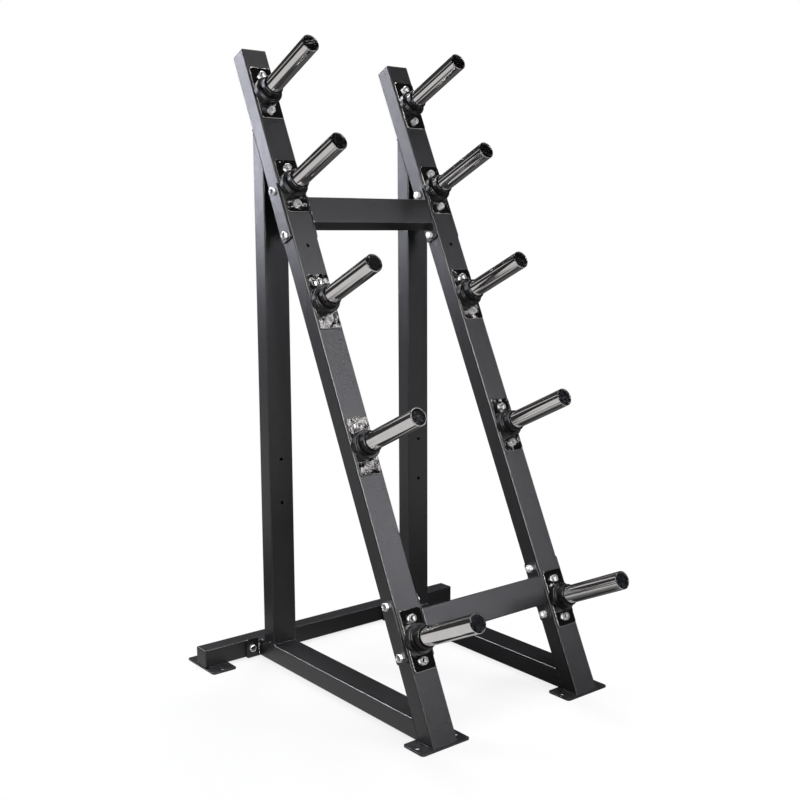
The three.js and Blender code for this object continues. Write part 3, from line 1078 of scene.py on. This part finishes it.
def weld_cross_rails(sizes, side):
    """Beads round the cross rails' ends, on the flanges' inner faces."""
    half_wide = sizes.tube_wide / 2
    x = frame_x(sizes, side) - SIDES[side] * (half_wide + sizes.seat_gap + sizes.strip_thick)
    edge = sizes.tube_narrow - 2 * (sizes.flange_ledge - sizes.weld_edge / 2)
    path = seam(sizes, sizes.tube_wide, edge)
    radii = []
    for along, _ in path:
        at_end = abs(along) > half_wide - sizes.weld_strip
        radii.append(sizes.weld_leg if at_end else sizes.weld_edge)
    for rail in RAILS:
        put = leaning(sizes, x, rail_level(sizes, rail), sizes.tube_narrow / 2)
        points = [put @ Vector((0, deep, along)) for along, deep in path]
        add_weld(f"{rail}_rail_weld_{side}", points, radii)


def weld_crossmember_foot(sizes, side):
    """Beads along the crossmember's two lower edges, where a foot carries it."""
    low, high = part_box(f"crossmember_foot_{side}")
    member_low, member_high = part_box("rear_crossmember")
    margin = 2 * sizes.weld_leg
    start = max(low.x, member_low.x) + margin
    run = min(high.x, member_high.x) - margin - start
    count = round(run / ripple_spacing(sizes))
    radii = [sizes.weld_leg] * (count + 1)
    for label, y in (("front", member_low.y), ("rear", member_high.y)):
        points = [(start + run * number / count, y, high.z) for number in range(count + 1)]
        add_weld(f"crossmember_foot_weld_{label}_{side}", points, radii, closed=False)


# Studio


def add_camera(scene, studio):
    """The camera that the photograph was taken with."""
    data = bpy.data.cameras.new("photo_camera")
    data.sensor_width = studio.camera_sensor
    data.lens = studio.camera_lens
    data.shift_x, data.shift_y = studio.camera_shift
    data.clip_start, data.clip_end = studio.camera_near, studio.camera_far
    camera = add_object("photo_camera", data)
    camera.location = studio.camera_place
    camera.rotation_euler = Euler(studio.camera_turn, "XYZ")
    scene.camera = camera


def add_backdrop(name, bm, skin):
    """A piece of the studio, which isn't part of the rack."""
    made = add_object(name, mesh_of(name, bm))
    made.data.materials.append(finish(skin))
    return made


def add_floor(studio):
    """A flat floor under the rack."""
    bm = bmesh.new()
    bmesh.ops.create_grid(bm, x_segments=1, y_segments=1, size=studio.floor_size / 2)
    add_backdrop("floor", bm, "floor_paper")


def add_glowing_cloth(studio):
    """Glowing cloth round the rack, out of the picture and seen only in reflections, that paints
    the plating's dark and light bands.
    """
    bm = bmesh.new()
    bmesh.ops.create_circle(bm, cap_ends=True, radius=studio.flag_distance, segments=CLOTH_STEPS)
    lift(bm, bmesh.ops.extrude_edge_only(bm, edges=list(bm.edges)), studio.flag_height)
    bmesh.ops.translate(bm, vec=(0, 0, studio.flag_lift), verts=bm.verts)
    flags = add_backdrop("flags", bm, "flag_cloth")
    # Only mirror and gloss rays see it, where its glow is painted reflection
    for ray in ("camera", "diffuse", "transmission", "volume_scatter", "shadow"):
        setattr(flags, "visible_" + ray, False)


def set_world(scene, studio):
    """White where it is seen or mirrored, and a softer light on everything."""
    world = bpy.data.worlds.new("studio_world")
    world.use_nodes = True
    scene.world = world
    tree = world.node_tree
    background = tree.nodes["Background"]
    background.inputs["Color"].default_value = (1, 1, 1, 1)
    tree.links.new(seen_light(tree, studio.ambient), background.inputs["Strength"])


# Each lamp's name, its place, the point it faces, its size in metres and its power in watts
LAMPS = (
    ("key_softbox", (2.52, -3.48, 3.02), (-0.1, 0.0, 0.8), (0.9, 2.9), 111.0),
    ("plate_card", (2.72, -3.33, 3.6), (-0.1, 0.0, 0.8), (0.55, 1.3), 4.5),
    ("kicker_softbox", (-1.65, 2.4, 2.12), (-0.29, 0.3, 1.3), (0.3, 2.0), 62.0),
    ("back_softbox", (-0.9, 2.9, 3.2), (-0.1, 0.1, 0.2), (1.2, 0.28), 260.0),
    ("front_softbox", (-0.75, -2.6, 2.6), (-0.1, 0.0, 0.9), (0.42, 1.8), 400.0),
    ("rim_card", (-0.75, -2.6, 2.6), (-0.1, 0.0, 0.9), (0.42, 1.8), 16.0),
    ("low_card", (-0.9, -2.6, 1.2), (-0.1, 0.0, 0.5), (0.5, 1.7), 18.0),
    ("side_card", (-1.65, 2.4, 2.12), (-0.1, 0.0, 0.9), (0.6, 2.4), 14.0),
    ("plug_card", (2.72, -3.33, 2.2), (-0.1, 0.0, 0.4), (0.6, 0.4), 7.0),
    ("edge_softbox", (-2.4, -1.7, 2.2), (-0.2, 0.0, 0.9), (0.4, 1.6), 80.0),
    ("top_softbox", (1.0, 1.0, 3.9), (0.1, 0.1, 0.0), (1.2, 1.6), 100.0),
    ("ground_softbox", (0.0, -0.3, 5.0), (0.0, 0.0, 0.0), (3.0, 3.0), 250.0),
)

# Lamps that aren't plain white
LAMP_COLOURS = {
    "key_softbox": (0.98, 0.97, 1.05),
    "kicker_softbox": (0.95, 0.96, 1.1),
    "plug_card": (0.85, 0.92, 1.15),
    "edge_softbox": (1.0, 1.0, 1.03),
}
WHITE = (1.0, 1.0, 1.0)

# Lamps that are seen in reflections only, where they draw the thin light lines along the edges
LINE_LAMPS = ("front_softbox", "edge_softbox", "back_softbox")

# The pieces that a lamp is kept off or on: bright softboxes stay off what mirrors them, and dim
# cards light that alone
CHROME = ("post_plate", "post_tube")
MIRRORS = (*CHROME, "post_end_plug")
LAMP_FLAGS = {
    "ground_softbox": ("INCLUDE", "floor"),
    "key_softbox": ("EXCLUDE", MIRRORS),
    "plate_card": ("INCLUDE", MIRRORS),
    "rim_card": ("INCLUDE", CHROME),
    "low_card": ("INCLUDE", "post_plate"),
    "side_card": ("INCLUDE", "post_plate"),
    "plug_card": ("INCLUDE", "post_end_plug"),
    "front_softbox": ("EXCLUDE", (*CHROME, "post_bolts")),
    "kicker_softbox": ("EXCLUDE", CHROME),
    "back_softbox": ("EXCLUDE", CHROME),
    "edge_softbox": ("EXCLUDE", CHROME),
    "top_softbox": ("EXCLUDE", ("post_tube", "base_rail_tube_right")),
}


def add_lamp(scene, name, spot, target, size, power):
    """A softbox or card that faces a point, with its flag."""
    data = bpy.data.lights.new(name, "AREA")
    data.shape = "RECTANGLE"
    data.size, data.size_y = size
    data.energy = power
    data.color = LAMP_COLOURS.get(name, WHITE)
    lamp = add_object(name, data)
    lamp.location = spot
    lamp.rotation_euler = (Vector(target) - Vector(spot)).to_track_quat("-Z", "Y").to_euler()
    lamp.visible_camera = False
    lamp.visible_diffuse = name not in LINE_LAMPS
    flag_lamp(scene, lamp, *LAMP_FLAGS[name])


def flag_lamp(scene, lamp, state, prefixes):
    """Keeps a lamp off some pieces, or on them alone, as a small flag beside the lamp would."""
    shaded = bpy.data.collections.new(lamp.name + "_flag")
    for piece in scene.collection.objects:
        if piece.name.startswith(prefixes):
            shaded.objects.link(piece)
    for entry in shaded.collection_objects:
        entry.light_linking.link_state = state
    lamp.light_linking.receiver_collection = shaded


# Operators


class PLATETREE_OT_front_uprights(bpy.types.Operator):
    """Make the two leaning uprights and their end caps"""

    bl_idname = "plate_tree.front_uprights"
    bl_label = "Front uprights"

    def execute(self, context):
        sizes = context.scene.plate_tree_sizes
        middle = sizes.tube_narrow / 2
        down = Matrix.Rotation(sizes.lean, 3, "X") @ Vector((0, 0, -1))
        foot_top = Vector((0, sizes.face_line, sizes.strip_thick + sizes.seat_gap))
        cut = leaning(sizes).inverted() @ foot_top - Vector((0, middle, 0))
        hole = (0, -middle, sizes.spare_level)
        for side in SIDES:
            x = frame_x(sizes, side)
            bm = frame_tube(sizes, sizes.upright_length)
            mitre(bm, cut, down)
            bm = drilled(bm, sizes.spare_hole, sizes.tube_wall, (0, 1, 0), [hole])
            foot = leaning(sizes, x, 0, middle)
            add_piece(f"upright_tube_{side}", bm, foot, "powder_coat", f"front_upright_{side}")
            cap = end_cap(sizes, sizes.tube_wide, sizes.tube_narrow)
            top = leaning(sizes, x, sizes.upright_length + sizes.seat_gap, middle)
            add_piece(f"upright_end_cap_{side}", cap, top, "cap_plastic", f"upright_cap_{side}")
        return {"FINISHED"}


class PLATETREE_OT_rear_uprights(bpy.types.Operator):
    """Make the two vertical uprights that brace the leaning ones"""

    bl_idname = "plate_tree.rear_uprights"
    bl_label = "Rear uprights"

    def execute(self, context):
        sizes = context.scene.plate_tree_sizes
        low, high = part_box("rear_upright_left")
        middle_y = (low.y + high.y) / 2
        gap = sizes.seat_gap / math.sin(sizes.lean)
        cut = rear_face_height(sizes, middle_y) - low.z - gap
        normal = (0, -math.cos(sizes.lean), math.sin(sizes.lean))
        heights = (sizes.accessory_low, sizes.accessory_low + sizes.accessory_spacing)
        holes = [(0, -sizes.tube_narrow / 2, height - low.z) for height in heights]
        for side in SIDES:
            bm = frame_tube(sizes, high.z + MITRE_ROOM)
            mitre(bm, (0, 0, cut), normal)
            bm = drilled(bm, sizes.spare_hole, sizes.tube_wall, (0, 1, 0), holes)
            foot = moved(frame_x(sizes, side), middle_y, low.z)
            add_piece(f"rear_upright_tube_{side}", bm, foot, "powder_coat", f"rear_upright_{side}")
        return {"FINISHED"}


class PLATETREE_OT_base_rails(bpy.types.Operator):
    """Make the two base rails, mitred to the leaning uprights"""

    bl_idname = "plate_tree.base_rails"
    bl_label = "Base rails"

    def execute(self, context):
        sizes = context.scene.plate_tree_sizes
        low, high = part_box("base_rail_left")
        middle_z = (low.z + high.z) / 2
        cut = high.y - rear_face_y(sizes, middle_z) - sizes.seat_gap / math.cos(sizes.lean)
        normal = (0, math.sin(sizes.lean), math.cos(sizes.lean))
        for side in SIDES:
            bm = frame_tube(sizes, high.y - low.y + MITRE_ROOM)
            mitre(bm, (0, 0, cut), normal)
            rear = moved(frame_x(sizes, side), high.y, middle_z) @ FACE_FRONT
            add_piece(f"base_rail_tube_{side}", bm, rear, "powder_coat", f"base_rail_{side}")
        return {"FINISHED"}


class PLATETREE_OT_feet(bpy.types.Operator):
    """Make the four foot plates with their anchor holes"""

    bl_idname = "plate_tree.feet"
    bl_label = "Feet"

    def execute(self, context):
        sizes = context.scene.plate_tree_sizes
        for node in [f"{foot}_foot_{side}" for side in SIDES for foot in ("front", "crossmember")]:
            low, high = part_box(node)
            wide, tall = high.x - low.x, high.y - low.y
            along = Vector((1, 0, 0) if wide > tall else (0, 1, 0))
            spots = [along * sizes.foot_hole_reach, -along * sizes.foot_hole_reach]
            bm = plate(wide, tall, sizes.strip_thick, sizes.foot_corner, 0)
            bm = drilled(bm, sizes.foot_hole, sizes.strip_thick, (0, 0, 1), spots)
            ease(bm, sizes.plate_edge)
            put = moved((low.x + high.x) / 2, (low.y + high.y) / 2, low.z)
            add_piece(f"{node}_plate", bm, put, "powder_coat", node)
        return {"FINISHED"}


class PLATETREE_OT_crossmember(bpy.types.Operator):
    """Make the rear crossmember, its end caps, and the flanges and bolts that hold it"""

    bl_idname = "plate_tree.crossmember"
    bl_label = "Rear crossmember"

    def execute(self, context):
        sizes = context.scene.plate_tree_sizes
        low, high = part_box("rear_crossmember")
        middle = (low + high) / 2
        square = high.z - low.z
        bm = tube(sizes, square, square, high.x - low.x)
        along = moved(low.x, middle.y, middle.z) @ Matrix.Rotation(QUARTER, 4, "Y")
        add_piece("crossmember_tube", bm, along, "powder_coat", "rear_crossmember")
        head, nut = bolt_head(sizes), bolt_nut(sizes)
        for side, sign in SIDES.items():
            end = moved(sign * (high.x + sizes.seat_gap), middle.y, middle.z)
            out = end @ Matrix.Rotation(sign * QUARTER, 4, "Y")
            cap = end_cap(sizes, square, square)
            node = f"crossmember_cap_{side}"
            add_piece(f"crossmember_end_cap_{side}", cap, out, "cap_plastic", node)
            node = f"rear_flange_{side}"
            flange_low, flange_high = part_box(node)
            rail_low, rail_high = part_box(f"base_rail_{side}")
            x, z = frame_x(sizes, side), (rail_low.z + rail_high.z) / 2
            front = rail_high.y + sizes.seat_gap
            wide, tall = flange_high.x - flange_low.x, flange_high.z - flange_low.z
            bm = plate(wide, tall, sizes.strip_thick, sizes.plate_corner, sizes.plate_edge)
            put = moved(x, front + sizes.strip_thick, z) @ FACE_FRONT
            add_piece(f"{node}_plate", bm, put, "powder_coat", node)
            near = moved(x, front, z) @ FACE_FRONT
            far = moved(x, high.y + sizes.seat_gap, z) @ FACE_FRONT.inverted()
            reach = sizes.flange_bolt_reach
            bolts = bolt_pair(head, near, reach, 0, 0, 2 * sign)
            bolts += bolt_pair(nut, far, reach, 0, 0, 2 * sign + FLANGE_NUT_TURNS)
            add_piece(f"{node}_bolts", gathered(bolts), HERE, "bolt_zinc")
        remove_meshes(head, nut)
        return {"FINISHED"}


class PLATETREE_OT_cross_rails(bpy.types.Operator):
    """Make the two cross rails, their flanges, and the backing plates with their bolts"""

    bl_idname = "plate_tree.cross_rails"
    bl_label = "Cross rails"

    def execute(self, context):
        sizes = context.scene.plate_tree_sizes
        head, nut = bolt_head(sizes), bolt_nut(sizes)
        middle_y = sizes.tube_narrow / 2
        tall = 2 * (sizes.rail_bolt_reach + sizes.plate_end)
        wide = sizes.tube_narrow - 2 * sizes.flange_ledge
        outer = sizes.tube_wide / 2 + sizes.seat_gap
        for order, rail in enumerate(RAILS):
            low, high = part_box(f"{rail}_rail")
            level = rail_level(sizes, rail)
            bm = tube(sizes, sizes.tube_narrow, sizes.tube_wide, high.x - low.x)
            across = leaning(sizes, low.x, level, middle_y) @ Matrix.Rotation(QUARTER, 4, "Y")
            put = across @ Matrix.Rotation(QUARTER, 4, "Z")
            add_piece(f"{rail}_rail_tube", bm, put, "powder_coat", f"{rail}_rail")
            for side, sign in SIDES.items():
                middle = leaning(sizes, frame_x(sizes, side), level, middle_y)
                bolts = []
                for steel, facing, mesh, first in (
                    ("rail_flange", -sign, nut, RAIL_NUT_TURNS),
                    ("backing_plate", sign, head, 0),
                ):
                    node = f"{rail}_{steel}_{side}"
                    face = middle @ moved(facing * outer) @ FACE_SIDES[facing]
                    bm = plate(wide, tall, sizes.strip_thick, sizes.plate_corner, sizes.plate_edge)
                    add_piece(f"{node}_steel", bm, face, "powder_coat", node)
                    first += 4 * sign + 2 * order
                    up, out = sizes.rail_bolt_reach, sizes.strip_thick
                    bolts += bolt_pair(mesh, face, 0, up, out, first)
                add_piece(f"{rail}_rail_bolts_{side}", gathered(bolts), HERE, "bolt_zinc")
        remove_meshes(head, nut)
        return {"FINISHED"}


class PLATETREE_OT_posts(bpy.types.Operator):
    """Make the ten chromed posts with their mounting plates and bolts"""

    bl_idname = "plate_tree.posts"
    bl_label = "Posts"

    def execute(self, context):
        sizes = context.scene.plate_tree_sizes
        head = bolt_head(sizes)
        wide = sizes.tube_wide - 2 * sizes.post_plate_inset
        tall = 2 * (sizes.post_bolt_reach + sizes.post_plate_end)
        start = sizes.seat_gap + sizes.strip_thick / 2
        plate_top = sizes.seat_gap + sizes.strip_thick
        bore = sizes.post_radius - sizes.post_wall
        rim = sizes.post_reach - sizes.post_rim
        profile = [
            (bore, start, 0),
            (bore, rim, 0),
            (bore, sizes.post_reach, sizes.fine_round),
            (sizes.post_radius, sizes.post_reach, sizes.post_round),
            (sizes.post_radius, rim, 0),
            (sizes.post_radius, start, 0),
        ]
        for name, number, at_face in each_post(sizes):
            corner, edge = sizes.post_plate_corner, sizes.post_plate_edge
            bm = plate(wide, tall, sizes.strip_thick, corner, edge)
            seat = at_face @ moved(z=sizes.seat_gap)
            add_piece(f"post_plate_{name}", bm, seat, "plate_chrome", f"post_{name}")
            bm = turned(profile, sizes.turn_steps, closed=True)
            add_piece(f"post_tube_{name}", bm, at_face, "post_chrome")
            up = sizes.post_bolt_reach
            bolts = bolt_pair(head, at_face, 0, up, plate_top, 2 * number)
            add_piece(f"post_bolts_{name}", gathered(bolts), HERE, "bolt_zinc")
        remove_meshes(head)
        return {"FINISHED"}


class PLATETREE_OT_collars(bpy.types.Operator):
    """Make the ten stepped rubber collars"""

    bl_idname = "plate_tree.collars"
    bl_label = "Collars"

    def execute(self, context):
        sizes = context.scene.plate_tree_sizes
        bore = sizes.post_radius + sizes.seat_gap
        wide, step = sizes.collar_radius, sizes.collar_step
        neck, top = sizes.collar_neck, sizes.collar_height
        profile = [
            (bore, 0, 0),
            (wide, 0, sizes.fine_round),
            (wide, step, sizes.collar_round),
            (neck + sizes.groove_width, step - sizes.groove_depth, sizes.groove_round),
            (neck, step + sizes.groove_rise, sizes.groove_round),
            (neck, top, sizes.neck_round),
            (bore + sizes.mouth_width, top, sizes.fine_round),
            (bore, top - sizes.mouth_depth, sizes.mouth_round),
        ]
        back = moved(z=2 * sizes.seat_gap + sizes.strip_thick)
        for name, _, at_face in each_post(sizes):
            bm = turned(profile, sizes.turn_steps, closed=True)
            add_piece(f"post_collar_{name}", bm, at_face @ back, "collar_rubber", f"collar_{name}")
        return {"FINISHED"}


class PLATETREE_OT_plugs(bpy.types.Operator):
    """Make the ten plugs that close the posts' ends"""

    bl_idname = "plate_tree.plugs"
    bl_label = "Plugs"

    def execute(self, context):
        sizes = context.scene.plate_tree_sizes
        radius = sizes.post_radius - sizes.post_wall - sizes.seat_gap
        crown = sizes.post_reach - sizes.plug_recess
        foot = crown - sizes.plug_length
        dome = sizes.plug_dome
        profile = [
            (0, foot, 0),
            (radius, foot, sizes.plug_foot),
            (radius, crown - dome, sizes.fine_round),
        ]
        for out, down in PLUG_DOME_SHARES:
            profile.append((radius * out, crown - dome * down, sizes.dome_round))
        profile.append((0, crown, 0))
        for name, _, at_face in each_post(sizes):
            bm = turned(profile, sizes.turn_steps, closed=False)
            add_piece(f"post_end_plug_{name}", bm, at_face, "plug_gloss", f"post_plug_{name}")
        return {"FINISHED"}


class PLATETREE_OT_welds(bpy.types.Operator):
    """Make the weld beads where tubes meet plates and each other"""

    bl_idname = "plate_tree.welds"
    bl_label = "Welds"

    def execute(self, context):
        sizes = context.scene.plate_tree_sizes
        for side in SIDES:
            weld_side_frame(sizes, side)
            weld_cross_rails(sizes, side)
            weld_crossmember_foot(sizes, side)
        return {"FINISHED"}


class PLATETREE_OT_stage(bpy.types.Operator):
    """Make the floor, the lamps and the camera"""

    bl_idname = "plate_tree.stage"
    bl_label = "Studio"

    def execute(self, context):
        scene = context.scene
        studio = scene.plate_tree_studio
        scene.view_settings.view_transform = "Standard"
        add_camera(scene, studio)
        add_floor(studio)
        set_world(scene, studio)
        add_glowing_cloth(studio)
        for lamp in LAMPS:
            add_lamp(scene, *lamp)
        return {"FINISHED"}


class PLATETREE_PT_panel(bpy.types.Panel):
    """The rack's operators and settings"""

    bl_idname = "PLATETREE_PT_panel"
    bl_label = "Plate tree"
    bl_space_type = "VIEW_3D"
    bl_region_type = "UI"
    bl_category = "Plate tree"

    def draw(self, context):
        layout = self.layout
        for operator in OPERATORS:
            layout.operator(operator.bl_idname)
        for key in GROUPS:
            group = getattr(context.scene, key)
            box = layout.box()
            box.label(text=key.removeprefix("plate_tree_").capitalize())
            for setting in group.bl_rna.properties.keys():
                if setting not in {"rna_type", "name"}:
                    box.prop(group, setting)


OPERATORS = (
    PLATETREE_OT_front_uprights,
    PLATETREE_OT_rear_uprights,
    PLATETREE_OT_base_rails,
    PLATETREE_OT_feet,
    PLATETREE_OT_crossmember,
    PLATETREE_OT_cross_rails,
    PLATETREE_OT_posts,
    PLATETREE_OT_collars,
    PLATETREE_OT_plugs,
    PLATETREE_OT_welds,
    PLATETREE_OT_stage,
)
GROUPS = {
    "plate_tree_sizes": PlateTreeSizes,
    "plate_tree_finishes": PlateTreeFinishes,
    "plate_tree_studio": PlateTreeStudio,
}


def register():
    for made in (*GROUPS.values(), *OPERATORS, PLATETREE_PT_panel):
        bpy.utils.register_class(made)
    for key, group in GROUPS.items():
        setattr(bpy.types.Scene, key, PointerProperty(type=group))


def unregister():
    for key in GROUPS:
        delattr(bpy.types.Scene, key)
    for made in reversed((*GROUPS.values(), *OPERATORS, PLATETREE_PT_panel)):
        bpy.utils.unregister_class(made)


def main():
    register()
    for operator in OPERATORS:
        family, action = operator.bl_idname.split(".")
        getattr(getattr(bpy.ops, family), action)()


if __name__ == "__main__":
    main()
